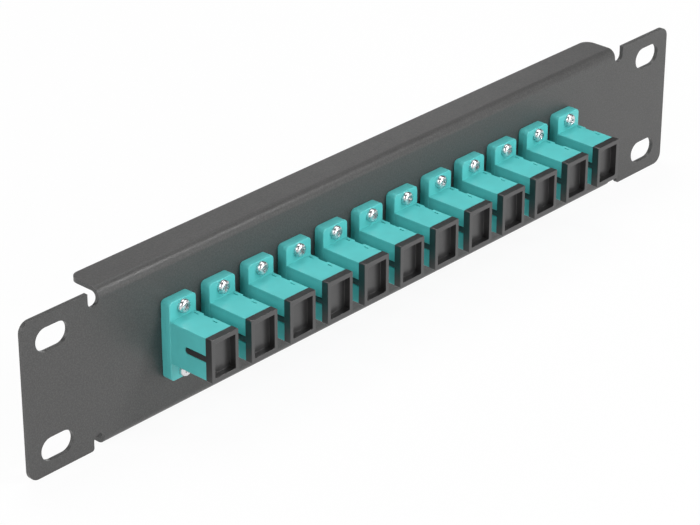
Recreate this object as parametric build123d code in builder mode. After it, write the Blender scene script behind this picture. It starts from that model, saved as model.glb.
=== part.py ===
from build123d import *
import os

# Fibre patch panel for a 10 inch rack, one unit high: a folded sheet with two ears that carries a row
# of keyed square-port adapters, each closed by a dust cap in front and another behind.
# All sizes are millimetres. X runs along the panel, -Y is its front, +Z is up.
# The origin is the middle of the four rack slots, on the rear face of the ears.

# Folded sheet
panel_width = 254.0
panel_height = 44.0
sheet = 1.2
bend_inner_radius = 1.4
flange_reach = 9.7
flange_corner_radius = 3.0
ear_width = 21.4
ear_corner_radius = 3.0
notch_width = 3.6
notch_depth = 4.3
ear_inner_corner_radius = 0.8

# Rack slots, placed from the panel's ends and edges to their middles
slot_from_end = 9.5
slot_from_edge = 6.8
slot_length = 10.6
slot_width = 6.5

# Row of adapters
adapter_count = 12
adapter_pitch = 14.0

# Adapter housing, two half shells welded at the middle of the ears
ear_layer = 1.6
half_length = 14.2
body_width = 9.1
body_height = 12.0
ear_plate_width = 9.3
ear_plate_height = 22.4
ear_plate_corner_radius = 1.25
port_width = 7.4
port_height = 9.0
cutout_clearance = 0.05
key_slot_width = 1.8
key_slot_length = 7.5
key_slot_corner = 0.6
recess_depth = 0.5
recess_length = 3.1
recess_start = 2.9

# Screws that hold the housing ears to the sheet
screw_spacing = 18.0
shank_radius = 1.0
shank_length = 6.0
head_radius = 1.9
head_height = 1.3
head_taper = 12.0
ear_hole_clearance = 0.15
thread_clearance = 0.02

# Sleeve holder, clamped where the halves are welded
holder_plate_thickness = 1.1
holder_seat_margin = 0.3
holder_seat_clearance = 0.05
tube_outer_radius = 2.2
tube_length = 6.6
sleeve_outer_radius = 1.6
sleeve_inner_radius = 1.25
sleeve_length = 11.4
sleeve_slit = 0.3
sleeve_clearance = 0.03
hook_width = 3.4
hook_arm = 0.6
hook_outer_offset = 3.65
hook_tip_below_mouth = 4.8
hook_tooth_height = 0.6
hook_tooth_length = 0.9

# Dust cap
collar_thickness = 2.2
collar_overhang = 0.15
pocket_rim = 1.3
pocket_depth = 2.0
plug_clearance = 0.1
plug_wall = 0.6
plug_length = 8.0
plug_floor_inset = 0.4
key_rib_clearance = 0.1
key_rib_inset = 0.05

# Flats on the small round features, which keep the whole row of adapters light
head_sides = 12
hole_sides = 6
tube_sides = 8

# Places worked out from the sizes above
slot_spacing_x = panel_width - 2 * slot_from_end
slot_spacing_z = panel_height - 2 * slot_from_edge
channel_length = panel_width - 2 * (ear_width + notch_width)
weld_y = -sheet - ear_layer
front_side = -1
rear_side = 1
adapter_xs = [(i - (adapter_count - 1) / 2) * adapter_pitch for i in range(adapter_count)]
seat_width = port_width + 2 * holder_seat_margin
seat_height = port_height + 2 * holder_seat_margin


def facing(x, y, side):
    """Sketch plane at depth y whose normal points out of the given side, with its own Y along +Z."""
    return Plane(origin=(x, y, 0), x_dir=(-side, 0, 0), z_dir=(0, side, 0))


def out(side, distance):
    """World Y at a distance from the weld plane towards the given side."""
    return weld_y + side * distance


def build_panel():
    """The folded sheet: a channel with its flanges bent back, and an ear with slots at each end."""
    with BuildPart() as panel:
        # C section of the channel, outer bends first, then the hollow with its inner bends
        with BuildSketch(Plane.YZ) as section:
            with Locations(((flange_reach - sheet) / 2, 0)):
                Rectangle(flange_reach + sheet, panel_height)
            fillet(section.vertices().group_by(Axis.X)[0], bend_inner_radius + sheet)
            with BuildSketch(mode=Mode.PRIVATE) as hollow:
                with Locations((flange_reach / 2, 0)):
                    Rectangle(flange_reach, panel_height - 2 * sheet)
                fillet(hollow.vertices().group_by(Axis.X)[0], bend_inner_radius)
            add(hollow.sketch, mode=Mode.SUBTRACT)
        extrude(amount=channel_length / 2, both=True)
        fillet(panel.edges().filter_by(Axis.Z).group_by(Axis.Y)[-1], flange_corner_radius)

        # Front plate with both ears, cut away where the channel's own bends stand
        with BuildSketch(Plane.XZ) as plate:
            Rectangle(panel_width, panel_height)
            fillet(plate.vertices(), ear_corner_radius)
            with GridLocations(0, panel_height - notch_depth, 1, 2):
                Rectangle(channel_length, notch_depth, mode=Mode.SUBTRACT)
            with GridLocations(channel_length + notch_width, panel_height, 2, 2):
                SlotOverall(2 * notch_depth, notch_width, rotation=90, mode=Mode.SUBTRACT)
            # The notches leave one sharp corner on each ear at the top and at the bottom edge
            for row in (plate.vertices().group_by(Axis.Y)[0], plate.vertices().group_by(Axis.Y)[-1]):
                inner_corners = row.sort_by(lambda corner: abs(corner.X))[:2]
                fillet(inner_corners, ear_inner_corner_radius)
        extrude(amount=sheet)

        # Rack slots, adapter cut-outs and tapped screw holes
        with BuildSketch(Plane.XZ.offset(sheet)):
            with GridLocations(slot_spacing_x, slot_spacing_z, 2, 2):
                SlotOverall(slot_length, slot_width)
            with GridLocations(adapter_pitch, 0, adapter_count, 1):
                Rectangle(body_width + 2 * cutout_clearance, body_height + 2 * cutout_clearance)
            with GridLocations(adapter_pitch, screw_spacing, adapter_count, 2):
                RegularPolygon(shank_radius + thread_clearance, hole_sides)
        extrude(amount=-sheet, mode=Mode.SUBTRACT)
    return panel


def build_housing(x):
    """An adapter housing, two moulded halves welded into one: ears for two screws and a port at each end."""
    wall = (body_width - port_width) / 2
    recess_middle = ear_layer + recess_start + recess_length / 2
    with BuildPart() as housing:
        with BuildSketch(facing(x, weld_y, front_side)) as ears:
            Rectangle(ear_plate_width, ear_plate_height)
            fillet(ears.vertices(), ear_plate_corner_radius)
            with GridLocations(0, screw_spacing, 1, 2):
                RegularPolygon(shank_radius + ear_hole_clearance, hole_sides, mode=Mode.SUBTRACT)
        extrude(amount=ear_layer, both=True)
        with BuildSketch(facing(x, weld_y, front_side)):
            Rectangle(body_width, body_height)
        extrude(amount=half_length, both=True)
        with BuildSketch(facing(x, weld_y, front_side)):
            Rectangle(port_width, port_height)
        extrude(amount=half_length, both=True, mode=Mode.SUBTRACT)

        # Seat around the middle of the port, where the halves clamp the sleeve holder
        with BuildSketch(facing(x, weld_y, front_side)):
            Rectangle(seat_width, seat_height)
        extrude(amount=holder_plate_thickness, both=True, mode=Mode.SUBTRACT)

        # Key slot through the -X wall of each port, and the shallow recess on the opposite wall
        for side in (front_side, rear_side):
            key_start = (x - body_width / 2, out(side, half_length), 0)
            with BuildSketch(Plane(key_start, x_dir=(0, -side, 0), z_dir=(1, 0, 0))) as key:
                with Locations((key_slot_length / 2, 0)):
                    Rectangle(key_slot_length, key_slot_width)
                chamfer(key.vertices().group_by(Axis.X)[-1], key_slot_corner)
            extrude(amount=wall, mode=Mode.SUBTRACT)
            recess_centre = (x + body_width / 2, out(side, recess_middle), 0)
            with BuildSketch(Plane(recess_centre, x_dir=(0, 1, 0), z_dir=(1, 0, 0))):
                Rectangle(recess_length, body_height)
            extrude(amount=-recess_depth, mode=Mode.SUBTRACT)
    return housing


def build_dust_cap(x, side):
    """A dust cap: a collar with a shallow pocket, a hollow plug and a rib that fills the key slot."""
    mouth = half_length
    plug_width = port_width - 2 * plug_clearance
    plug_height = port_height - 2 * plug_clearance
    collar_width = body_width + 2 * collar_overhang
    collar_height = body_height + 2 * collar_overhang
    rib_face_x = body_width / 2 - key_rib_inset
    with BuildPart() as cap:
        with BuildSketch(facing(x, out(side, mouth), side)):
            Rectangle(collar_width, collar_height)
        extrude(amount=collar_thickness)
        with BuildSketch(facing(x, out(side, mouth + collar_thickness), side)):
            Rectangle(collar_width - 2 * pocket_rim, collar_height - 2 * pocket_rim)
        extrude(amount=-pocket_depth, mode=Mode.SUBTRACT)
        with BuildSketch(facing(x, out(side, mouth), side)):
            Rectangle(plug_width, plug_height)
        extrude(amount=-plug_length)
        rib_start = (x - rib_face_x, out(side, mouth), 0)
        rib_length = key_slot_length - key_rib_clearance
        with BuildSketch(Plane(rib_start, x_dir=(0, -side, 0), z_dir=(1, 0, 0))) as rib:
            with Locations((rib_length / 2, 0)):
                Rectangle(rib_length, key_slot_width - 2 * key_rib_clearance)
            chamfer(rib.vertices().group_by(Axis.X)[-1], key_slot_corner)
        extrude(amount=rib_face_x - plug_width / 2)
        with BuildSketch(facing(x, out(side, mouth - plug_length), side)):
            Rectangle(plug_width - 2 * plug_wall, plug_height - 2 * plug_wall)
        extrude(amount=plug_length - plug_floor_inset, mode=Mode.SUBTRACT)
    return cap


def build_sleeve_holder(x):
    """The sleeve holder: a plate clamped in the housing, a tube through it and two latch hooks each way."""
    hook_length = half_length - hook_tip_below_mouth
    inner_z = hook_outer_offset - hook_arm
    with BuildPart() as holder:
        with BuildSketch(facing(x, weld_y, front_side)):
            Rectangle(seat_width - 2 * holder_seat_clearance, seat_height - 2 * holder_seat_clearance)
        extrude(amount=holder_plate_thickness - holder_seat_clearance, both=True)
        with BuildSketch(facing(x, weld_y, front_side)):
            RegularPolygon(tube_outer_radius, tube_sides)
        extrude(amount=tube_length, both=True)
        for side in (front_side, rear_side):
            with BuildSketch(Plane((x, weld_y, 0), x_dir=(0, side, 0), z_dir=(side, 0, 0))):
                with BuildLine():
                    Polyline(
                        (0, hook_outer_offset),
                        (hook_length, hook_outer_offset),
                        (hook_length, inner_z),
                        (hook_length - hook_tooth_length, inner_z - hook_tooth_height),
                        (hook_length - 2 * hook_tooth_length, inner_z),
                        (0, inner_z),
                        close=True,
                    )
                make_face()
                mirror(about=Plane.XZ)
            extrude(amount=hook_width / 2, both=True)
        with BuildSketch(facing(x, weld_y, front_side)):
            RegularPolygon(sleeve_outer_radius + sleeve_clearance, tube_sides)
        extrude(amount=tube_length, both=True, mode=Mode.SUBTRACT)
    return holder


def build_split_sleeve(x):
    """The ceramic sleeve that lines up two ferrules: a tube with one slit along its top."""
    with BuildPart() as sleeve:
        with BuildSketch(facing(x, weld_y, rear_side)):
            RegularPolygon(sleeve_outer_radius, tube_sides)
            RegularPolygon(sleeve_inner_radius, tube_sides, mode=Mode.SUBTRACT)
            with Locations((0, sleeve_outer_radius)):
                Rectangle(sleeve_slit, 2 * sleeve_outer_radius, mode=Mode.SUBTRACT)
        extrude(amount=sleeve_length / 2, both=True)
    return sleeve


def build_screw(x, z):
    """A small pan-head screw through both ears into the tapped sheet; its cross recess is left out."""
    head_seat_y = out(front_side, ear_layer)
    with BuildPart() as screw:
        with BuildSketch(Plane(origin=(x, head_seat_y, z), x_dir=(1, 0, 0), z_dir=(0, -1, 0))):
            RegularPolygon(head_radius, head_sides)
        extrude(amount=head_height, taper=head_taper)
        with BuildSketch(Plane(origin=(x, head_seat_y, z), x_dir=(1, 0, 0), z_dir=(0, -1, 0))):
            RegularPolygon(shank_radius, hole_sides)
        extrude(amount=-shank_length)
    return screw


def write(shape, name):
    """Label one finished shape and write it as its own file."""
    shape.label = name
    export_step(shape, f"parts/{name}.step")


os.makedirs("parts", exist_ok=True)
write(build_panel().part, "panel")
for number, x in enumerate(adapter_xs, start=1):
    write(build_housing(x).part, f"adapter_housing_{number:02d}")
    write(build_sleeve_holder(x).part, f"sleeve_holder_{number:02d}")
    write(build_dust_cap(x, front_side).part, f"front_dust_cap_{number:02d}")
    write(build_dust_cap(x, rear_side).part, f"rear_dust_cap_{number:02d}")
screw_zs = (-screw_spacing / 2, screw_spacing / 2)
write(Compound(children=[build_split_sleeve(x).part for x in adapter_xs]), "split_sleeves")
write(Compound(children=[build_screw(x, z).part for x in adapter_xs for z in screw_zs]), "ear_screws")
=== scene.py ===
import math

import bmesh
import bpy
from mathutils import Matrix, Vector


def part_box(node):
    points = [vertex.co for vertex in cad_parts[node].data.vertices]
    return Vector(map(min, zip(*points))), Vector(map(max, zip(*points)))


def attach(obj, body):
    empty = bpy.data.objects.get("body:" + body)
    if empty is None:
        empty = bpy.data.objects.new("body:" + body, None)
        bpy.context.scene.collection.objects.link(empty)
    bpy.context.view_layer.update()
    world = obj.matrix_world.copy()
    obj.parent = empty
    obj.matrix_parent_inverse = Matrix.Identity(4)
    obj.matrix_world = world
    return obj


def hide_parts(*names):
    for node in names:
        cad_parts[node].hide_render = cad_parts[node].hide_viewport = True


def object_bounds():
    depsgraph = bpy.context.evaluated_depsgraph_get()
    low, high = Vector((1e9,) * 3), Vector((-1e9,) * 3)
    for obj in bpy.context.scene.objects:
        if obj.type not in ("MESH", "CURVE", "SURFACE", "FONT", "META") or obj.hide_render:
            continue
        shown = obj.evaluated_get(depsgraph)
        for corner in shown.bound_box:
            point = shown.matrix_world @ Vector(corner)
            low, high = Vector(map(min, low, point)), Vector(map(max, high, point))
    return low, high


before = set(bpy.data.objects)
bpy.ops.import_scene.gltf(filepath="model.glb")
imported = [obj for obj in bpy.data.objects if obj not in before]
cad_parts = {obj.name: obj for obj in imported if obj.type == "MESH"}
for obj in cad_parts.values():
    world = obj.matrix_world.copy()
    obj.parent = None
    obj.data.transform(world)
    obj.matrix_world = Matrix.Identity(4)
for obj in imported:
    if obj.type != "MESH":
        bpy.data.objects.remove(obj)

bl_info = {
    "name": "Fibre patch panel",
    "version": (1, 0, 0),
    "blender": (4, 5, 0),
    "location": "View3D > Sidebar > Patch panel",
    "description": "Dresses the folded sheet, its adapters, dust caps and screws, and sets up the studio",
    "category": "Add Mesh",
}

ROOT_BODY = "panel_assembly"
CAD_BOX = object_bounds()

HOUSING_NODES = sorted(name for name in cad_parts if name.startswith("adapter_housing_"))
HOLDER_NODES = sorted(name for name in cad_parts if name.startswith("sleeve_holder_"))
FIRST_LOW, FIRST_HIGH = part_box(HOUSING_NODES[0])
SECOND_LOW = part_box(HOUSING_NODES[1])[0]
WELD_Y = (FIRST_LOW.y + FIRST_HIGH.y) / 2

# How far a cutting tool passes the surface that it cuts
CUT_MARGIN = 0.001

# The key slot's tool goes this many walls deep
KEY_CUT_WALLS = 1.5

# Sizes of the noises in the finishes, and the height of the plating's marks, in metres
COAT_PATCH = 0.012
MOULD_DRIFT = 0.004
MOULD_GRAIN = 0.0006
PLATING_MARK = 0.0004
PLATING_RELIEF = 0.000004

# Values of the noise between which a finish goes from its dark to its pale colour
COAT_FLECKS = (0.40, 0.72)
MOULD_SHADES = (0.3, 0.7)
PLATING_SHADES = (0.35, 0.65)

# How far a finish's roughness goes below and above its setting
COAT_SPREAD = (0.03, 0.04)
MOULD_SPREAD = (0.04, 0.05)
PLATING_SPREAD = (0.05, 0.08)

# The screw's cross recess: how far its tool starts above the head, and shares of the recess's size
RECESS_OVER = 0.0002
RECESS_MOUTH_WIDTH = 1.15
RECESS_FLOOR_WIDTH = 0.7
RECESS_FLOOR_LENGTH = 0.45

# Elevations between which the white band at the horizon fades into the backdrop
BAND_LOW = math.radians(3.0)
BAND_HIGH = math.radians(12.0)

# The camera's sensor in millimetres, and how near and far it sees, in metres
SENSOR_WIDTH = 36.0
CLIP_NEAR = 0.01
CLIP_FAR = 20.0

# Name, place and side of each soft light, with the setting that holds its power
LIGHTS = (
    ("Key light", (0.42, -1.97, 0.42), 0.80, "key"),
    ("Side light", (-1.10, -0.20, 0.70), 0.6, "side"),
    ("Back light", (0.22, 0.42, 1.25), 0.8, "back"),
    ("Glint light", (0.26, -0.42, 0.50), 0.2, "glint"),
    ("Flange light", (1.45, 1.37, 0.27), 0.5, "flange"),
    ("Rear light", (-1.20, 1.60, 0.50), 0.7, "rear"),
)


def from_frame(name, description, metres):
    """A length property whose default is read from the CAD frame, in metres."""
    return bpy.props.FloatProperty(
        name=name, description=description, default=metres, min=0.0,
        subtype="DISTANCE", unit="LENGTH", precision=5,
    )


def length(name, description, millimetres):
    """A length property whose default is given in millimetres."""
    return from_frame(name, description, millimetres / 1000)


def colour(name, description, default):
    """A colour property, in linear light."""
    return bpy.props.FloatVectorProperty(
        name=name, description=description, default=default, size=3, min=0.0, max=1.0, subtype="COLOR",
    )


def share(name, description, default):
    """A property between 0 and 1."""
    return bpy.props.FloatProperty(
        name=name, description=description, default=default, min=0.0, max=1.0, subtype="FACTOR",
    )


def count(name, description, default):
    """A whole number of pieces or steps."""
    return bpy.props.IntProperty(name=name, description=description, default=default, min=1)


def watts(name, description, default):
    """A lamp's power in watts."""
    return bpy.props.FloatProperty(name=name, description=description, default=default, min=0.0)


class RowSettings(bpy.types.PropertyGroup):
    """How the adapters stand along the panel."""

    columns: count("Adapters", "How many adapters stand in the row", len(HOUSING_NODES))
    pitch: from_frame("Pitch", "Distance between two adapters", SECOND_LOW.x - FIRST_LOW.x)


class SheetSettings(bpy.types.PropertyGroup):
    """The folded sheet and its powder coat."""

    edge_round: length("Edge rounding", "How far the coat rounds the cut edges", 0.14)
    grain: length("Grain", "Size of the grains in the powder coat", 0.42)
    relief: length("Relief", "Height of the grains in the powder coat", 0.035)
    coat: colour("Coat", "Main colour of the powder coat", (0.050, 0.0495, 0.049))
    fleck: colour("Fleck", "Colour of the paler grains", (0.078, 0.077, 0.076))
    roughness: share("Roughness", "Roughness of the powder coat", 0.40)


class HousingSettings(bpy.types.PropertyGroup):
    """The welded adapter housing."""

    half_length: from_frame("Half length", "Length of each half, from weld to mouth", WELD_Y - FIRST_LOW.y)
    body_width: length("Body width", "Width of the square body", 9.1)
    body_height: length("Body height", "Height of the square body", 12.0)
    ear_width: from_frame("Ear width", "Width of the ears", FIRST_HIGH.x - FIRST_LOW.x)
    ear_height: from_frame("Ear height", "Height over both ears", FIRST_HIGH.z - FIRST_LOW.z)
    ear_layer: length("Ear layer", "Thickness of the ear on each half", 1.6)
    ear_corner: length("Ear corner", "Radius of the ears' corners", 1.25)
    port_width: length("Port width", "Width inside the port", 7.4)
    port_height: length("Port height", "Height inside the port", 9.0)
    port_clearance: length("Port clearance", "How far the ears stay back from the port's walls", 0.4)
    key_width: length("Key slot width", "Width of the key slot", 1.8)
    key_length: length("Key slot length", "Length of the key slot from the mouth", 7.5)
    key_corner: length("Key slot corner", "Radius at the inner end of the key slot", 0.7)
    recess_start: length("Recess start", "Distance from the ear to the side recess", 2.9)
    recess_length: length("Recess length", "Length of the side recess", 3.1)
    recess_depth: length("Recess depth", "Depth of the side recess", 0.5)
    clip_inset: length("Clip groove inset", "Distance of the clip grooves from the recessed side", 1.3)
    clip_width: length("Clip groove width", "Width of the clip grooves", 0.45)
    clip_length: length("Clip groove length", "Length of the clip grooves", 1.6)
    clip_gap: length("Clip groove gap", "Gap between two clip grooves along the body", 5.0)
    clip_start: length("Clip groove start", "Distance from the ear to the first clip groove", 0.6)
    clip_depth: length("Clip groove depth", "Depth of the clip grooves", 0.35)
    hole_radius: length("Ear hole", "Radius of the screw holes in the ears", 1.15)
    screw_spacing: length("Screw spacing", "Distance between the two screws of an adapter", 18.0)
    weld_gap: length("Weld line", "Width of the fine line between the halves", 0.06)
    weld_depth: length("Weld line depth", "Depth of the fine line between the halves", 0.08)
    edge_round: length("Edge rounding", "Rounding of the moulded edges", 0.22)
    plastic: colour("Plastic", "Colour of the housing", (0.104, 0.545, 0.541))
    roughness: share("Roughness", "Roughness of the housing", 0.32)


class HolderSettings(bpy.types.PropertyGroup):
    """The sleeve holder inside each adapter."""

    plate_width: length("Plate width", "Width of the clamped plate", 7.9)
    plate_height: length("Plate height", "Height of the clamped plate", 9.5)
    plate_half: length("Plate half", "Half the thickness of the clamped plate", 1.05)
    tube_radius: length("Tube radius", "Outer radius of the tube", 2.0)
    tube_reach: length("Tube reach", "Length of the tube each way from the weld", 6.6)
    bore_radius: length("Bore radius", "Radius of the tube's bore", 1.52)
    lip_radius: length("Lip radius", "Radius of the lip that keeps the sleeve in", 1.27)
    lip_length: length("Lip length", "Length of the lip at each end", 0.6)
    hook_width: length("Hook width", "Width of each latch hook", 3.4)
    hook_arm: length("Hook arm", "Thickness of each hook's arm", 0.6)
    hook_outer: length("Hook offset", "Distance from the middle to the outside of a hook", 3.65)
    hook_reach: length("Hook reach", "Length of the hooks from the weld", 9.4)
    hook_chamfer: length("Hook chamfer", "Cut at the outer tip of a hook", 0.3)
    tooth_height: length("Tooth height", "Height of the tooth on a hook", 0.6)
    tooth_length: length("Tooth length", "Length of half a tooth", 0.9)
    edge_round: length("Edge rounding", "Rounding of the moulded edges", 0.08)
    plastic: colour("Plastic", "Colour of the sleeve holder", (0.06, 0.36, 0.34))
    roughness: share("Roughness", "Roughness of the sleeve holder", 0.4)


class SleeveSettings(bpy.types.PropertyGroup):
    """The split sleeve in each holder."""

    outer_radius: length("Outer radius", "Outer radius of the sleeve", 1.48)
    inner_radius: length("Inner radius", "Inner radius of the sleeve", 1.24)
    half_length: length("Half length", "Length of the sleeve each way from the weld", 5.7)
    slit: length("Slit", "Width of the slit", 0.3)
    ceramic: colour("Ceramic", "Colour of the sleeve", (0.80, 0.79, 0.74))
    roughness: share("Roughness", "Roughness of the sleeve", 0.18)


class CapSettings(bpy.types.PropertyGroup):
    """The dust caps in front and behind."""

    collar_width: length("Collar width", "Width of the collar", 9.4)
    collar_height: length("Collar height", "Height of the collar", 12.3)
    collar_thickness: length("Collar thickness", "Thickness of the collar", 2.2)
    collar_corner: length("Collar corner", "Radius of the collar's corners", 0.35)
    rim_side: length("Side rim", "Width of the rim on each side of the pocket", 1.1)
    rim_top: length("Top rim", "Height of the rim above and below the pocket", 1.35)
    pocket_depth: length("Pocket depth", "Depth of the pocket", 2.0)
    plug_width: length("Plug width", "Width of the hollow plug", 7.2)
    plug_height: length("Plug height", "Height of the hollow plug", 8.8)
    plug_length: length("Plug length", "Length of the hollow plug", 8.0)
    plug_wall: length("Plug wall", "Wall of the hollow plug", 0.6)
    plug_floor: length("Plug floor", "Distance from the mouth to the plug's floor", 0.4)
    key_inset: length("Key inset", "How far the rib stays under the housing's side", 0.05)
    key_width: length("Key width", "Width of the rib that fills the key slot", 1.6)
    key_length: length("Key length", "Length of the rib that fills the key slot", 7.4)
    key_corner: length("Key corner", "Corner at the end of the rib", 0.62)
    edge_round: length("Edge rounding", "Rounding of the moulded edges", 0.13)
    plastic: colour("Plastic", "Colour of the dust caps", (0.014, 0.0137, 0.0140))
    roughness: share("Roughness", "Roughness of the dust caps", 0.34)


class ScrewSettings(bpy.types.PropertyGroup):
    """The pan-head screws through the ears."""

    head_radius: length("Head radius", "Radius of the head", 1.9)
    head_height: length("Head height", "Height of the head", 1.3)
    head_land: length("Head land", "Radius of the flat middle of the head", 0.95)
    head_edge: share("Head edge", "Share of the head's height that is upright", 0.35)
    recess_length: length("Recess length", "Length across the cross recess", 2.2)
    recess_width: length("Recess width", "Width of each arm of the recess", 0.5)
    recess_depth: length("Recess depth", "Depth of the cross recess", 0.6)
    shank_radius: length("Shank radius", "Radius over the thread", 1.0)
    shank_length: length("Shank length", "Length of the shank under the head", 6.0)
    thread_pitch: length("Thread pitch", "Pitch of the thread", 0.4)
    thread_depth: length("Thread depth", "Depth of the thread", 0.2)
    seed: count("Seed", "Seed for how far each screw is turned", 7)
    steel: colour("Steel", "Colour of the screws", (0.78, 0.78, 0.79))
    roughness: share("Roughness", "Roughness of the screws", 0.27)


class StudioSettings(bpy.types.PropertyGroup):
    """Camera, floor and lights."""

    camera_place: bpy.props.FloatVectorProperty(
        name="Camera place", description="Where the camera stands",
        default=(-0.4999, -0.4500, 0.3353), size=3, subtype="TRANSLATION", unit="LENGTH",
    )
    camera_yaw: bpy.props.FloatProperty(
        name="Camera yaw", description="Turn of the camera from +Y towards +X",
        default=math.radians(47.40), subtype="ANGLE",
    )
    camera_pitch: bpy.props.FloatProperty(
        name="Camera pitch", description="How far the camera looks down",
        default=math.radians(27.14), subtype="ANGLE",
    )
    camera_roll: bpy.props.FloatProperty(
        name="Camera roll", description="Roll of the camera", default=math.radians(0.10), subtype="ANGLE",
    )
    lens: bpy.props.FloatProperty(
        name="Lens", description="Focal length in millimetres on a 36 mm wide sensor",
        default=142.88, min=1.0,
    )
    floor_size: length("Floor", "Side of the floor", 6000.0)
    floor_colour: colour("Floor colour", "Colour of the floor under its white", (0.82, 0.82, 0.82))
    floor_roughness: share("Floor roughness", "Roughness of the floor", 0.9)
    fill: share("Fill", "Strength of the even light from all round", 0.15)
    floor_white: share("Floor white", "Share of plain white in the floor as the camera sees it", 0.94)
    backdrop_dark: share("Backdrop", "Strength of the backdrop above the pale band at the horizon", 0.12)
    key: watts("Key light", "Power of the main soft light, right of the front", 18.0)
    side: watts("Side light", "Power of the soft light from the left", 6.5)
    back: watts("Back light", "Power of the soft light above and behind", 9.0)
    glint: watts("Glint light", "Power of the small light that draws the line along the bend", 2.0)
    flange: watts("Flange light", "Power of the low light behind that draws the upper flange", 1.8)
    rear: watts("Rear light", "Power of the soft light that shows the back", 10.0)


# Meshes


def context_housing():
    """The housing's settings, which the caps and screws also sit by."""
    return bpy.context.scene.panel_housing


def link(name, mesh):
    """A new object for a mesh, in the scene at the origin."""
    made = bpy.data.objects.new(name, mesh)
    bpy.context.scene.collection.objects.link(made)
    return made


def drop(made):
    """Remove a helper object and its mesh."""
    mesh = made.data
    bpy.data.objects.remove(made)
    if mesh.users == 0:
        bpy.data.meshes.remove(mesh)


def bake(made):
    """Turn an object's evaluated result into its own plain mesh, with no modifier left."""
    depsgraph = bpy.context.evaluated_depsgraph_get()
    mesh = bpy.data.meshes.new_from_object(made.evaluated_get(depsgraph), depsgraph=depsgraph)
    made.modifiers.clear()
    old = made.data
    made.data = mesh
    mesh.name = made.name
    if old.users == 0:
        bpy.data.meshes.remove(old)
    return made


def rounded_outline(width, height, radius, steps=8):
    """Corners of an upright rectangle with rounded corners, anticlockwise, about the origin."""
    points = []
    for quarter, (sx, sz) in enumerate(((1, 1), (-1, 1), (-1, -1), (1, -1))):
        cx, cz = sx * (width / 2 - radius), sz * (height / 2 - radius)
        for step in range(steps + 1):
            angle = math.pi / 2 * (quarter + step / steps)
            points.append((cx + radius * math.cos(angle), cz + radius * math.sin(angle)))
    return points


def rectangle(width, height):
    """Corners of an upright rectangle about the origin, anticlockwise."""
    return [(su * width / 2, sv * height / 2) for su, sv in ((-1, -1), (1, -1), (1, 1), (-1, 1))]


def loft(name, rings):
    """A closed solid through rings of points, with a flat face at each end."""
    bm = bmesh.new()
    loops = [[bm.verts.new(point) for point in ring] for ring in rings]
    for lower, upper in zip(loops, loops[1:]):
        for i in range(len(lower)):
            j = (i + 1) % len(lower)
            bm.faces.new((lower[i], lower[j], upper[j], upper[i]))
    bm.faces.new(loops[0])
    bm.faces.new(loops[-1])
    bmesh.ops.recalc_face_normals(bm, faces=bm.faces)
    return from_bmesh(name, bm)


def prism(name, outline, start, end, axis="Y"):
    """A closed solid: an outline in XZ pushed along Y, or one in YZ pushed along X."""
    if axis == "Y":
        return loft(name, [[(u, place, v) for u, v in outline] for place in (start, end)])
    return loft(name, [[(place, u, v) for u, v in outline] for place in (start, end)])


def from_bmesh(name, bm):
    """A new object from a bmesh."""
    mesh = bpy.data.meshes.new(name)
    bm.to_mesh(mesh)
    bm.free()
    return link(name, mesh)


def block(name, width, start, end, height):
    """A plain rectangular solid about the Y axis."""
    return prism(name, rectangle(width, height), start, end)


def round_tool(radius, start, end, z=0.0, sides=32):
    """A round bar along Y."""
    outline = [
        (radius * math.cos(2 * math.pi * i / sides), z + radius * math.sin(2 * math.pi * i / sides))
        for i in range(sides)
    ]
    return prism("round", outline, start, end)


def boolean(target, tools, operation):
    """Join tools to the target or cut them out of it, and remove the tools."""
    for tool in tools:
        modifier = target.modifiers.new(operation, "BOOLEAN")
        modifier.operation = operation
        modifier.solver = "EXACT"
        modifier.object = tool
    bake(target)
    for tool in tools:
        drop(tool)
    return target


def soften(made, width, segments=3, angle=35.0):
    """Round a solid's edges and keep the result as a plain mesh."""
    modifier = made.modifiers.new("Round", "BEVEL")
    modifier.width = width
    modifier.segments = segments
    modifier.limit_method = "ANGLE"
    modifier.angle_limit = math.radians(angle)
    modifier.use_clamp_overlap = True
    return bake(made)


def clean(made, flat_angle=0.5, merge=1e-6):
    """Merge points closer than merge, join faces flatter than flat_angle, and point the faces outwards."""
    bm = bmesh.new()
    bm.from_mesh(made.data)
    bmesh.ops.remove_doubles(bm, verts=bm.verts, dist=merge)
    bmesh.ops.dissolve_limit(
        bm, angle_limit=math.radians(flat_angle), verts=bm.verts, edges=bm.edges, delimit={"NORMAL"},
    )
    bmesh.ops.recalc_face_normals(bm, faces=bm.faces)
    bm.to_mesh(made.data)
    bm.free()
    return made


def smooth(made, angle=32.0):
    """Shade smooth across small angles, with normals that follow the large faces."""
    made.data.shade_smooth()
    made.data.set_sharp_from_angle(angle=math.radians(angle))
    modifier = made.modifiers.new("Normals", "WEIGHTED_NORMAL")
    modifier.keep_sharp = True
    return bake(made)


def placed(source, name, offset, mirror_y=None):
    """A copy of a mesh moved to its place, mirrored first about a plane of Y where one is given."""
    bm = bmesh.new()
    bm.from_mesh(source.data)
    if mirror_y is not None:
        for vert in bm.verts:
            vert.co.y = 2 * mirror_y - vert.co.y
        bmesh.ops.reverse_faces(bm, faces=bm.faces)
    bmesh.ops.translate(bm, vec=offset, verts=bm.verts)
    return from_bmesh(name, bm)


def paint(made, material):
    """Give a piece its one material."""
    made.data.materials.clear()
    made.data.materials.append(material)
    return made


# Repeats along the panel


def socket_id(tree, name):
    """The identifier of a tree's input, by its name."""
    for item in tree.interface.items_tree:
        if item.item_type == "SOCKET" and item.in_out == "INPUT" and item.name == name:
            return item.identifier
    raise KeyError(name)


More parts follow.
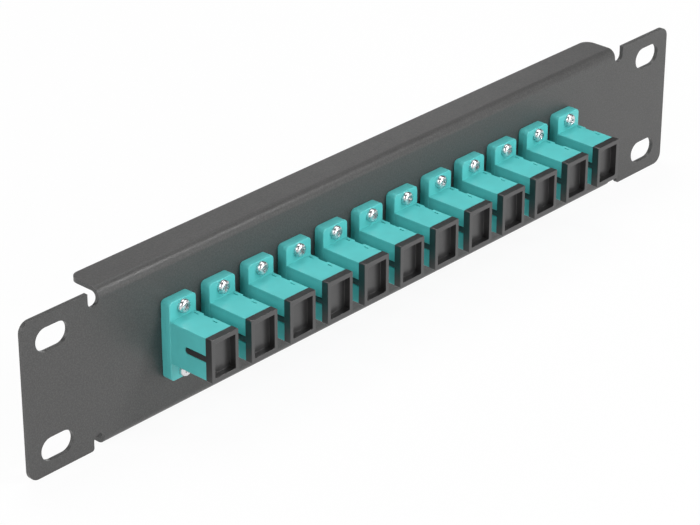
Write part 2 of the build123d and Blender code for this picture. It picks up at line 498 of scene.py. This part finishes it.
def math_node(tree, operation, *values):
    """The result of a Math node whose inputs are sockets or plain numbers."""
    made = tree.nodes.new("ShaderNodeMath")
    made.operation = operation
    for socket, value in zip(made.inputs, values):
        if isinstance(value, bpy.types.NodeSocket):
            tree.links.new(value, socket)
        else:
            socket.default_value = value
    return made.outputs[0]


def row_tree():
    """A tree that sets copies of a piece out in columns and rows, each turned about Y by chance."""
    tree = bpy.data.node_groups.new("Row of pieces", "GeometryNodeTree")
    for name, kind in (
        ("Geometry", "NodeSocketGeometry"),
        ("Piece", "NodeSocketObject"),
        ("Columns", "NodeSocketInt"),
        ("Pitch", "NodeSocketFloat"),
        ("Rows", "NodeSocketInt"),
        ("Row spacing", "NodeSocketFloat"),
        ("Turn", "NodeSocketFloat"),
        ("Seed", "NodeSocketInt"),
        ("Finish", "NodeSocketMaterial"),
    ):
        tree.interface.new_socket(name, in_out="INPUT", socket_type=kind)
    tree.interface.new_socket("Geometry", in_out="OUTPUT", socket_type="NodeSocketGeometry")
    nodes, links = tree.nodes, tree.links
    group_in = nodes.new("NodeGroupInput")
    group_out = nodes.new("NodeGroupOutput")

    def spread(number, distance, axis):
        """A line of points about the middle, along one axis."""
        gaps = math_node(tree, "SUBTRACT", group_in.outputs[number], 1.0)
        total = math_node(tree, "MULTIPLY", gaps, group_in.outputs[distance])
        half = math_node(tree, "MULTIPLY", total, -0.5)
        start = nodes.new("ShaderNodeCombineXYZ")
        links.new(half, start.inputs[axis])
        step = nodes.new("ShaderNodeCombineXYZ")
        links.new(group_in.outputs[distance], step.inputs[axis])
        line = nodes.new("GeometryNodeMeshLine")
        line.mode = "OFFSET"
        links.new(group_in.outputs[number], line.inputs["Count"])
        links.new(start.outputs[0], line.inputs["Start Location"])
        links.new(step.outputs[0], line.inputs["Offset"])
        return line

    columns = spread("Columns", "Pitch", "X")
    rows = spread("Rows", "Row spacing", "Z")
    grid = nodes.new("GeometryNodeInstanceOnPoints")
    links.new(columns.outputs["Mesh"], grid.inputs["Points"])
    links.new(rows.outputs["Mesh"], grid.inputs["Instance"])
    points = nodes.new("GeometryNodeRealizeInstances")
    links.new(grid.outputs["Instances"], points.inputs["Geometry"])
    piece = nodes.new("GeometryNodeObjectInfo")
    links.new(group_in.outputs["Piece"], piece.inputs["Object"])
    turn = nodes.new("FunctionNodeRandomValue")
    turn.data_type = "FLOAT"
    links.new(group_in.outputs["Turn"], turn.inputs[3])
    links.new(group_in.outputs["Seed"], turn.inputs["Seed"])
    about_y = nodes.new("ShaderNodeCombineXYZ")
    links.new(turn.outputs[1], about_y.inputs["Y"])
    copies = nodes.new("GeometryNodeInstanceOnPoints")
    links.new(points.outputs["Geometry"], copies.inputs["Points"])
    links.new(piece.outputs["Geometry"], copies.inputs["Instance"])
    links.new(about_y.outputs[0], copies.inputs["Rotation"])
    real = nodes.new("GeometryNodeRealizeInstances")
    links.new(copies.outputs["Instances"], real.inputs["Geometry"])
    finish = nodes.new("GeometryNodeSetMaterial")
    links.new(real.outputs["Geometry"], finish.inputs["Geometry"])
    links.new(group_in.outputs["Finish"], finish.inputs["Material"])
    links.new(finish.outputs["Geometry"], group_out.inputs["Geometry"])
    return tree


def repeat(name, piece, material, rows=1, row_spacing=0.0, turn=0.0, seed=0):
    """Repeat a piece along the panel and keep the result as one plain mesh."""
    row = bpy.context.scene.panel_row
    made = link(name, bpy.data.meshes.new(name))
    tree = bpy.data.node_groups.get("Row of pieces") or row_tree()
    modifier = made.modifiers.new("Row", "NODES")
    modifier.node_group = tree
    for socket, value in (
        ("Piece", piece),
        ("Columns", row.columns),
        ("Pitch", row.pitch),
        ("Rows", rows),
        ("Row spacing", row_spacing),
        ("Turn", turn),
        ("Seed", seed),
        ("Finish", material),
    ):
        modifier[socket_id(tree, socket)] = value
    bake(made)
    drop(piece)
    return made


# Finishes


def material_nodes(name):
    """A new material with its tree and its main shader."""
    material = bpy.data.materials.new(name)
    material.use_nodes = True
    tree = material.node_tree
    return material, tree, tree.nodes["Principled BSDF"]


def noise(tree, size, detail=2.0):
    """Noise on Object coordinates whose features are about one size, in metres."""
    place = tree.nodes.new("ShaderNodeTexCoord")
    made = tree.nodes.new("ShaderNodeTexNoise")
    made.inputs["Scale"].default_value = 1 / size
    made.inputs["Detail"].default_value = detail
    tree.links.new(place.outputs["Object"], made.inputs["Vector"])
    return made.outputs["Fac"]


def tint(tree, shader, value, across, dark, pale):
    """Colour that goes from dark to pale as value goes across its two ends."""
    made = tree.nodes.new("ShaderNodeValToRGB")
    for element, place, end in zip(made.color_ramp.elements, across, (dark, pale)):
        element.position = place
        element.color = (*end, 1.0)
    tree.links.new(value, made.inputs["Fac"])
    tree.links.new(made.outputs["Color"], shader.inputs["Base Color"])


def roughen(tree, shader, value, roughness, spread):
    """Roughness that goes below and above its setting by spread as value goes from 0.3 to 0.7."""
    made = tree.nodes.new("ShaderNodeMapRange")
    made.inputs["From Min"].default_value = 0.3
    made.inputs["From Max"].default_value = 0.7
    made.inputs["To Min"].default_value = roughness - spread[0]
    made.inputs["To Max"].default_value = roughness + spread[1]
    tree.links.new(value, made.inputs["Value"])
    tree.links.new(made.outputs["Result"], shader.inputs["Roughness"])


def relief(tree, shader, value, height):
    """Bump from a value, with a height in metres."""
    made = tree.nodes.new("ShaderNodeBump")
    made.inputs["Strength"].default_value = 1.0
    made.inputs["Distance"].default_value = height
    tree.links.new(value, made.inputs["Height"])
    tree.links.new(made.outputs["Normal"], shader.inputs["Normal"])


def powder_coat(settings):
    """Charcoal powder coat: fine grains with paler flecks and a low sheen."""
    material, tree, shader = material_nodes("Charcoal powder coat")
    grain = noise(tree, settings.grain, detail=3.0)
    tint(tree, shader, grain, COAT_FLECKS, settings.coat, settings.fleck)
    roughen(tree, shader, noise(tree, COAT_PATCH), settings.roughness, COAT_SPREAD)
    relief(tree, shader, grain, settings.relief)
    return material


def moulded(name, plastic, roughness, shade=0.94, height=0.000004, specular=0.5, index=1.5):
    """Moulded plastic: a faint drift of colour and a very fine texture from the mould."""
    material, tree, shader = material_nodes(name)
    shader.inputs["Specular IOR Level"].default_value = specular
    shader.inputs["IOR"].default_value = index
    drift = noise(tree, MOULD_DRIFT, detail=1.0)
    tint(tree, shader, drift, MOULD_SHADES, [c * shade for c in plastic], plastic)
    fine = noise(tree, MOULD_GRAIN)
    roughen(tree, shader, fine, roughness, MOULD_SPREAD)
    relief(tree, shader, fine, height)
    return material


def bright_steel(settings, shade=0.86):
    """Nickel-plated steel with fine marks."""
    material, tree, shader = material_nodes("Bright plated steel")
    shader.inputs["Metallic"].default_value = 1.0
    marks = noise(tree, PLATING_MARK, detail=3.0)
    tint(tree, shader, marks, PLATING_SHADES, [c * shade for c in settings.steel], settings.steel)
    roughen(tree, shader, marks, settings.roughness, PLATING_SPREAD)
    relief(tree, shader, marks, PLATING_RELIEF)
    return material


# Operators


class PANEL_OT_sheet(bpy.types.Operator):
    """Dress the folded sheet with rounded edges and powder coat."""

    bl_idname = "patch_panel.sheet"
    bl_label = "Folded sheet"

    def execute(self, context):
        settings = context.scene.panel_sheet
        sheet = link("folded_sheet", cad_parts["panel"].data.copy())
        clean(sheet)
        soften(sheet, settings.edge_round, segments=2, angle=50.0)
        smooth(sheet)
        paint(sheet, powder_coat(settings))
        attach(sheet, ROOT_BODY)
        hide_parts("panel")
        return {"FINISHED"}


def key_slot_outline(settings, side):
    """The key slot seen from the side: open at the mouth, rounded at its inner end."""
    mouth = WELD_Y + side * (settings.half_length + settings.edge_round)
    inner = WELD_Y + side * (settings.half_length - settings.key_length)
    half, radius, steps = settings.key_width / 2, settings.key_corner, 6
    points = [(mouth, -half)]
    for sz in (-1, 1):
        centre = (inner + side * radius, sz * (half - radius))
        for step in range(steps + 1):
            angle = math.pi / 2 * (step / steps)
            across, along = math.cos(angle), math.sin(angle)
            if sz == 1:
                across, along = along, across
            points.append((centre[0] - side * radius * along, centre[1] + sz * radius * across))
    points.append((mouth, half))
    return points


def housing_body(settings):
    """The square body with its port, key slots and side recesses, and rounded edges."""
    reach = settings.half_length
    body = block("body", settings.body_width, WELD_Y - reach, WELD_Y + reach, settings.body_height)
    past = reach + CUT_MARGIN
    tools = [block("port", settings.port_width, WELD_Y - past, WELD_Y + past, settings.port_height)]
    right = settings.body_width / 2
    wall = right - settings.port_width / 2
    for side in (-1, 1):
        outline = key_slot_outline(settings, side)
        tools.append(prism("key", outline, -right - CUT_MARGIN, -right + KEY_CUT_WALLS * wall, axis="X"))
        near = WELD_Y + side * (settings.ear_layer + settings.recess_start)
        far = near + side * settings.recess_length
        high = settings.body_height
        outline = [(near, -high), (far, -high), (far, high), (near, high)]
        tools.append(prism("recess", outline, right - settings.recess_depth, right + CUT_MARGIN, axis="X"))
    boolean(body, tools, "DIFFERENCE")
    clean(body)
    return soften(body, settings.edge_round)


def clip_grooves(settings):
    """Tools for the short grooves beside the side recesses, above and below, where a clip would sit."""
    tools = []
    middle = settings.body_width / 2 - settings.clip_inset
    left, right = middle - settings.clip_width / 2, middle + settings.clip_width / 2
    low = settings.body_height / 2 - settings.clip_depth
    high = settings.body_height / 2 + settings.clip_depth
    for side in (-1, 1):
        for start in (settings.clip_start, settings.clip_start + settings.clip_length + settings.clip_gap):
            near = WELD_Y + side * (settings.ear_layer + start)
            far = near + side * settings.clip_length
            for sz in (-1, 1):
                outline = [(near, sz * low), (far, sz * low), (far, sz * high), (near, sz * high)]
                tools.append(prism("clip", outline, left, right, axis="X"))
    return tools


def housing_ears(settings):
    """The ears of both halves, with screw holes, the port left free and a fine weld line."""
    layer = settings.ear_layer
    outline = rounded_outline(settings.ear_width, settings.ear_height, settings.ear_corner)
    ears = soften(prism("ears", outline, WELD_Y - layer, WELD_Y + layer), settings.edge_round)
    half_gap, depth = settings.weld_gap / 2, 2 * settings.weld_depth
    corner = settings.ear_corner
    line = prism(
        "line", rounded_outline(settings.ear_width + depth, settings.ear_height + depth, corner),
        WELD_Y - half_gap, WELD_Y + half_gap,
    )
    inside = prism(
        "inside", rounded_outline(settings.ear_width - depth, settings.ear_height - depth, corner),
        WELD_Y - layer, WELD_Y + layer,
    )
    boolean(line, [inside], "DIFFERENCE")
    start, end = WELD_Y - 2 * layer, WELD_Y + 2 * layer
    port = [size + 2 * settings.port_clearance for size in (settings.port_width, settings.port_height)]
    tools = [line, block("free", port[0], start, end, port[1])]
    for sz in (-1, 1):
        tools.append(round_tool(settings.hole_radius, start, end, sz * settings.screw_spacing / 2))
    return boolean(ears, tools, "DIFFERENCE")


class PANEL_OT_housings(bpy.types.Operator):
    """Build one adapter housing and repeat it along the panel."""

    bl_idname = "patch_panel.housings"
    bl_label = "Adapter housings"

    def execute(self, context):
        settings = context.scene.panel_housing
        housing = boolean(housing_body(settings), [housing_ears(settings)], "UNION")
        boolean(housing, clip_grooves(settings), "DIFFERENCE")
        clean(housing)
        plastic = moulded("Aqua plastic", settings.plastic, settings.roughness)
        row = repeat("adapter_housings", housing, plastic)
        smooth(row)
        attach(row, ROOT_BODY)
        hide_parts(*HOUSING_NODES)
        return {"FINISHED"}


class PANEL_OT_holders(bpy.types.Operator):
    """Build one sleeve holder and repeat it along the panel."""

    bl_idname = "patch_panel.holders"
    bl_label = "Sleeve holders"

    def execute(self, context):
        settings = context.scene.panel_holder
        half = settings.plate_half
        holder = block("holder", settings.plate_width, WELD_Y - half, WELD_Y + half, settings.plate_height)
        hooks = []
        outer, inner = settings.hook_outer, settings.hook_outer - settings.hook_arm
        tooth, rise = settings.tooth_length, settings.tooth_height
        tip, chamfer = settings.hook_reach, settings.hook_chamfer
        profile = [
            (0.0, outer), (tip - chamfer, outer), (tip, outer - chamfer), (tip, inner),
            (tip - tooth, inner - rise), (tip - 2 * tooth, inner), (0.0, inner),
        ]
        for side in (-1, 1):
            for sz in (-1, 1):
                hooks.append(
                    prism(
                        "hook", [(WELD_Y + side * y, sz * z) for y, z in profile],
                        -settings.hook_width / 2, settings.hook_width / 2, axis="X",
                    )
                )
        reach = settings.tube_reach
        hooks.append(round_tool(settings.tube_radius, WELD_Y - reach, WELD_Y + reach, sides=40))
        boolean(holder, hooks, "UNION")
        inside = reach - settings.lip_length
        tools = [
            round_tool(settings.bore_radius, WELD_Y - inside, WELD_Y + inside, sides=40),
            round_tool(settings.lip_radius, WELD_Y - 2 * reach, WELD_Y + 2 * reach, sides=40),
        ]
        boolean(holder, tools, "DIFFERENCE")
        clean(holder)
        soften(holder, settings.edge_round, segments=2, angle=50.0)
        plastic = moulded("Holder plastic", settings.plastic, settings.roughness)
        row = repeat("sleeve_holders", holder, plastic)
        smooth(row)
        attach(row, ROOT_BODY)
        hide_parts(*HOLDER_NODES)
        return {"FINISHED"}


class PANEL_OT_sleeves(bpy.types.Operator):
    """Build one split sleeve and repeat it along the panel."""

    bl_idname = "patch_panel.sleeves"
    bl_label = "Split sleeves"

    def execute(self, context):
        settings = context.scene.panel_sleeve
        sides = 40
        gap = math.asin(settings.slit / 2 / settings.outer_radius)
        outline = []
        for radius, order in ((settings.outer_radius, 1), (settings.inner_radius, -1)):
            turns = range(sides + 1) if order == 1 else range(sides, -1, -1)
            for i in turns:
                angle = math.pi / 2 + gap + (2 * math.pi - 2 * gap) * i / sides
                outline.append((radius * math.cos(angle), radius * math.sin(angle)))
        sleeve = prism("sleeve", outline, WELD_Y - settings.half_length, WELD_Y + settings.half_length)
        ceramic = moulded(
            "White ceramic", settings.ceramic, settings.roughness, shade=0.97, height=0.000001,
        )
        row = repeat("split_sleeve_row", sleeve, ceramic)
        smooth(row)
        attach(row, ROOT_BODY)
        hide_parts("split_sleeves")
        return {"FINISHED"}


def dust_cap(settings):
    """A front dust cap at the middle of the panel, with its collar out to the front."""
    housing = context_housing()
    mouth = WELD_Y - housing.half_length
    front = mouth - settings.collar_thickness
    outline = rounded_outline(settings.collar_width, settings.collar_height, settings.collar_corner)
    collar = prism("collar", outline, front, mouth)
    pocket = prism(
        "pocket",
        rounded_outline(
            settings.collar_width - 2 * settings.rim_side, settings.collar_height - 2 * settings.rim_top,
            settings.collar_corner / 2,
        ),
        front - CUT_MARGIN, front + settings.pocket_depth,
    )
    boolean(collar, [pocket], "DIFFERENCE")
    soften(collar, settings.edge_round)
    overlap = (settings.collar_thickness - settings.pocket_depth) / 2
    inner_y = mouth + settings.plug_length
    plug = block("plug", settings.plug_width, mouth - overlap, inner_y, settings.plug_height)
    half, corner = settings.key_width / 2, settings.key_corner
    key_end = mouth + settings.key_length
    rib = prism(
        "rib",
        [
            (mouth - overlap, -half), (key_end - corner, -half), (key_end, -half + corner),
            (key_end, half - corner), (key_end - corner, half), (mouth - overlap, half),
        ],
        settings.key_inset - housing.body_width / 2, overlap - settings.plug_width / 2, axis="X",
    )
    hollow_width, hollow_height = (
        size - 2 * settings.plug_wall for size in (settings.plug_width, settings.plug_height)
    )
    hollow = block("hollow", hollow_width, mouth + settings.plug_floor, inner_y + CUT_MARGIN, hollow_height)
    boolean(plug, [rib], "UNION")
    boolean(plug, [hollow], "DIFFERENCE")
    clean(plug)
    soften(plug, settings.edge_round)
    boolean(collar, [plug], "UNION")
    return clean(collar)


class PANEL_OT_caps(bpy.types.Operator):
    """Build a dust cap for the front and rear port of every adapter."""

    bl_idname = "patch_panel.caps"
    bl_label = "Dust caps"

    def execute(self, context):
        settings = context.scene.panel_cap
        plastic = moulded(
            "Black cap plastic", settings.plastic, settings.roughness, shade=0.9, height=0.000002,
            specular=0.85, index=1.6,
        )
        source = dust_cap(settings)
        for housing in HOUSING_NODES:
            low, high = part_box(housing)
            offset = Vector(((low.x + high.x) / 2, 0.0, 0.0))
            number = housing[-2:]
            for end, mirror in (("front", None), ("rear", WELD_Y)):
                cap = placed(source, f"{end}_cap_moulding_{number}", offset, mirror)
                smooth(cap)
                paint(cap, plastic)
                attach(cap, f"{end}_cap_{number}")
                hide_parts(f"{end}_dust_cap_{number}")
        drop(source)
        return {"FINISHED"}


def screw_head(settings, seat_y):
    """The pan head: a revolved profile with a cross recess."""
    sides, steps = 40, 8
    edge = settings.head_edge
    profile = [(settings.head_radius, 0.0), (settings.head_radius, settings.head_height * edge)]
    for step in range(1, steps + 1):
        angle = math.pi / 2 * step / steps
        radius = settings.head_land + (settings.head_radius - settings.head_land) * math.cos(angle)
        profile.append((radius, settings.head_height * (edge + (1 - edge) * math.sin(angle))))
    turns = [2 * math.pi * i / sides for i in range(sides)]
    head = loft(
        "head",
        [
            [(radius * math.cos(turn), seat_y - height, radius * math.sin(turn)) for turn in turns]
            for radius, height in profile
        ],
    )
    top = seat_y - settings.head_height
    tools = []
    for turned in (False, True):
        rings = []
        for y, long_share, wide_share in (
            (top - RECESS_OVER, 1.0, RECESS_MOUTH_WIDTH),
            (top + settings.recess_depth, RECESS_FLOOR_LENGTH, RECESS_FLOOR_WIDTH),
        ):
            width, height = settings.recess_length * long_share, settings.recess_width * wide_share
            if turned:
                width, height = height, width
            rings.append([(x, y, z) for x, z in rectangle(width, height)])
        tools.append(loft("cross", rings))
    return boolean(head, tools, "DIFFERENCE")


def threaded_shank(settings, seat_y):
    """A shank with a helical thread, plain at both ends."""
    sides, per_pitch = 16, 4
    rows = round(settings.shank_length / settings.thread_pitch * per_pitch)
    rings = []
    for row in range(rows + 1):
        y = settings.shank_length * row / rows
        ring = []
        for i in range(sides):
            turn = i / sides
            phase = (y / settings.thread_pitch - turn) % 1.0
            radius = settings.shank_radius - settings.thread_depth * abs(2 * phase - 1)
            if row in (0, rows):
                radius = settings.shank_radius - settings.thread_depth
            angle = 2 * math.pi * turn
            ring.append((radius * math.cos(angle), seat_y + y, radius * math.sin(angle)))
        rings.append(ring)
    return loft("shank", rings)


class PANEL_OT_screws(bpy.types.Operator):
    """Build one pan-head screw and repeat it in two rows along the panel."""

    bl_idname = "patch_panel.screws"
    bl_label = "Ear screws"

    def execute(self, context):
        settings = context.scene.panel_screw
        housing = context_housing()
        seat_y = WELD_Y - housing.ear_layer
        screw = screw_head(settings, seat_y)
        shank = threaded_shank(settings, seat_y)
        joined = bmesh.new()
        joined.from_mesh(screw.data)
        joined.from_mesh(shank.data)
        joined.to_mesh(screw.data)
        joined.free()
        drop(shank)
        steel = bright_steel(settings)
        row = repeat(
            "ear_screw_rows", screw, steel, rows=2, row_spacing=housing.screw_spacing,
            turn=math.pi / 2, seed=settings.seed,
        )
        smooth(row)
        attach(row, ROOT_BODY)
        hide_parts("ear_screws")
        return {"FINISHED"}


def soft_light(name, place, size, power):
    """A square soft light that points at the middle of the panel."""
    data = bpy.data.lights.new(name, "AREA")
    data.shape = "SQUARE"
    data.size = size
    data.energy = power
    lamp = bpy.data.objects.new(name, data)
    bpy.context.scene.collection.objects.link(lamp)
    lamp.location = place
    lamp.rotation_euler = (-Vector(place)).to_track_quat("-Z", "Y").to_euler()
    return lamp


def camera_matrix(settings):
    """The camera's place and turn from yaw, pitch and roll."""
    yaw, pitch, roll = settings.camera_yaw, settings.camera_pitch, settings.camera_roll
    forward = Vector(
        (math.sin(yaw) * math.cos(pitch), math.cos(yaw) * math.cos(pitch), -math.sin(pitch))
    )
    right = Vector((math.cos(yaw), -math.sin(yaw), 0.0))
    up = right.cross(forward)
    rolled_right = math.cos(roll) * right + math.sin(roll) * up
    rolled_up = -math.sin(roll) * right + math.cos(roll) * up
    turn = Matrix((rolled_right, rolled_up, -forward)).transposed().to_4x4()
    return Matrix.Translation(settings.camera_place) @ turn


def seen_ray(tree):
    """1 on rays from the camera, on reflections and through glass, and 0 on the light that falls."""
    path = tree.nodes.new("ShaderNodeLightPath")
    value = path.outputs["Is Camera Ray"]
    for name in ("Is Glossy Ray", "Is Transmission Ray"):
        value = math_node(tree, "MAXIMUM", value, path.outputs[name])
    return value


def mix_into(tree, factor, first, second, output):
    """Mix two shaders by a factor and send the result to an output node."""
    mix = tree.nodes.new("ShaderNodeMixShader")
    tree.links.new(factor, mix.inputs[0])
    tree.links.new(first, mix.inputs[1])
    tree.links.new(second, mix.inputs[2])
    tree.links.new(mix.outputs[0], tree.nodes[output].inputs["Surface"])


def studio_floor(settings):
    """A pale matt floor under the panel, almost plain white to the camera."""
    corners = rectangle(settings.floor_size, settings.floor_size)
    bm = bmesh.new()
    bm.faces.new([bm.verts.new((x, y, CAD_BOX[0].z)) for x, y in corners])
    floor = from_bmesh("studio_floor", bm)
    material, tree, shader = material_nodes("Pale floor")
    shader.inputs["Base Color"].default_value = (*settings.floor_colour, 1.0)
    shader.inputs["Roughness"].default_value = settings.floor_roughness
    shader.inputs["Specular IOR Level"].default_value = 0.0
    white = tree.nodes.new("ShaderNodeEmission")
    white.inputs["Strength"].default_value = 1.0
    part_white = math_node(tree, "MULTIPLY", seen_ray(tree), settings.floor_white)
    mix_into(tree, part_white, shader.outputs[0], white.outputs[0], "Material Output")
    return paint(floor, material)


def studio_world(settings):
    """Even light from all round, and a backdrop that only the camera and reflections see."""
    world = bpy.data.worlds.new("Studio")
    world.use_nodes = True
    tree = world.node_tree
    even = tree.nodes["Background"]
    even.inputs["Color"].default_value = (1.0, 1.0, 1.0, 1.0)
    even.inputs["Strength"].default_value = settings.fill
    direction = tree.nodes.new("ShaderNodeTexCoord")
    parts = tree.nodes.new("ShaderNodeSeparateXYZ")
    tree.links.new(direction.outputs["Generated"], parts.inputs[0])
    fade = tree.nodes.new("ShaderNodeMapRange")
    fade.inputs["From Min"].default_value = math.sin(BAND_LOW)
    fade.inputs["From Max"].default_value = math.sin(BAND_HIGH)
    fade.inputs["To Min"].default_value = 1.0
    fade.inputs["To Max"].default_value = settings.backdrop_dark
    tree.links.new(parts.outputs["Z"], fade.inputs["Value"])
    seen = tree.nodes.new("ShaderNodeBackground")
    seen.inputs["Color"].default_value = (1.0, 1.0, 1.0, 1.0)
    tree.links.new(fade.outputs["Result"], seen.inputs["Strength"])
    mix_into(tree, seen_ray(tree), even.outputs[0], seen.outputs[0], "World Output")
    return world


def studio_camera(settings):
    """A camera at the photo's viewing angle."""
    data = bpy.data.cameras.new("Photo camera")
    data.sensor_fit = "HORIZONTAL"
    data.sensor_width = SENSOR_WIDTH
    data.lens = settings.lens
    data.clip_start, data.clip_end = CLIP_NEAR, CLIP_FAR
    camera = bpy.data.objects.new("Photo camera", data)
    bpy.context.scene.collection.objects.link(camera)
    camera.matrix_world = camera_matrix(settings)
    return camera


class PANEL_OT_studio(bpy.types.Operator):
    """Set up the floor, the lights, the world and the camera."""

    bl_idname = "patch_panel.studio"
    bl_label = "Studio"

    def execute(self, context):
        settings = context.scene.panel_studio
        scene = context.scene
        scene.view_settings.view_transform = "Standard"
        floor = studio_floor(settings)
        scene.world = studio_world(settings)
        lamps = [
            soft_light(name, place, size, getattr(settings, power))
            for name, place, size, power in LIGHTS
        ]
        scene.camera = studio_camera(settings)
        return {"FINISHED"}


STEPS = (
    PANEL_OT_sheet, PANEL_OT_housings, PANEL_OT_holders, PANEL_OT_sleeves,
    PANEL_OT_caps, PANEL_OT_screws, PANEL_OT_studio,
)
SETTINGS = (
    ("panel_row", RowSettings), ("panel_sheet", SheetSettings), ("panel_housing", HousingSettings),
    ("panel_holder", HolderSettings), ("panel_sleeve", SleeveSettings), ("panel_cap", CapSettings),
    ("panel_screw", ScrewSettings), ("panel_studio", StudioSettings),
)


class PANEL_PT_patch_panel(bpy.types.Panel):
    """Sizes, colours and steps of the patch panel."""

    bl_idname = "PANEL_PT_patch_panel"
    bl_label = "Patch panel"
    bl_space_type = "VIEW_3D"
    bl_region_type = "UI"
    bl_category = "Patch panel"

    def draw(self, context):
        for step in STEPS:
            self.layout.operator(step.bl_idname)
        for attribute, group in SETTINGS:
            box = self.layout.box()
            box.label(text=group.__doc__)
            for name in group.__annotations__:
                box.prop(getattr(context.scene, attribute), name)


def register():
    for attribute, group in SETTINGS:
        bpy.utils.register_class(group)
        setattr(bpy.types.Scene, attribute, bpy.props.PointerProperty(type=group))
    for step in STEPS:
        bpy.utils.register_class(step)
    bpy.utils.register_class(PANEL_PT_patch_panel)


def unregister():
    bpy.utils.unregister_class(PANEL_PT_patch_panel)
    for step in reversed(STEPS):
        bpy.utils.unregister_class(step)
    for attribute, group in reversed(SETTINGS):
        delattr(bpy.types.Scene, attribute)
        bpy.utils.unregister_class(group)


def main():
    register()
    for step in STEPS:
        group, name = step.bl_idname.split(".")
        getattr(getattr(bpy.ops, group), name)()


if __name__ == "__main__":
    main()
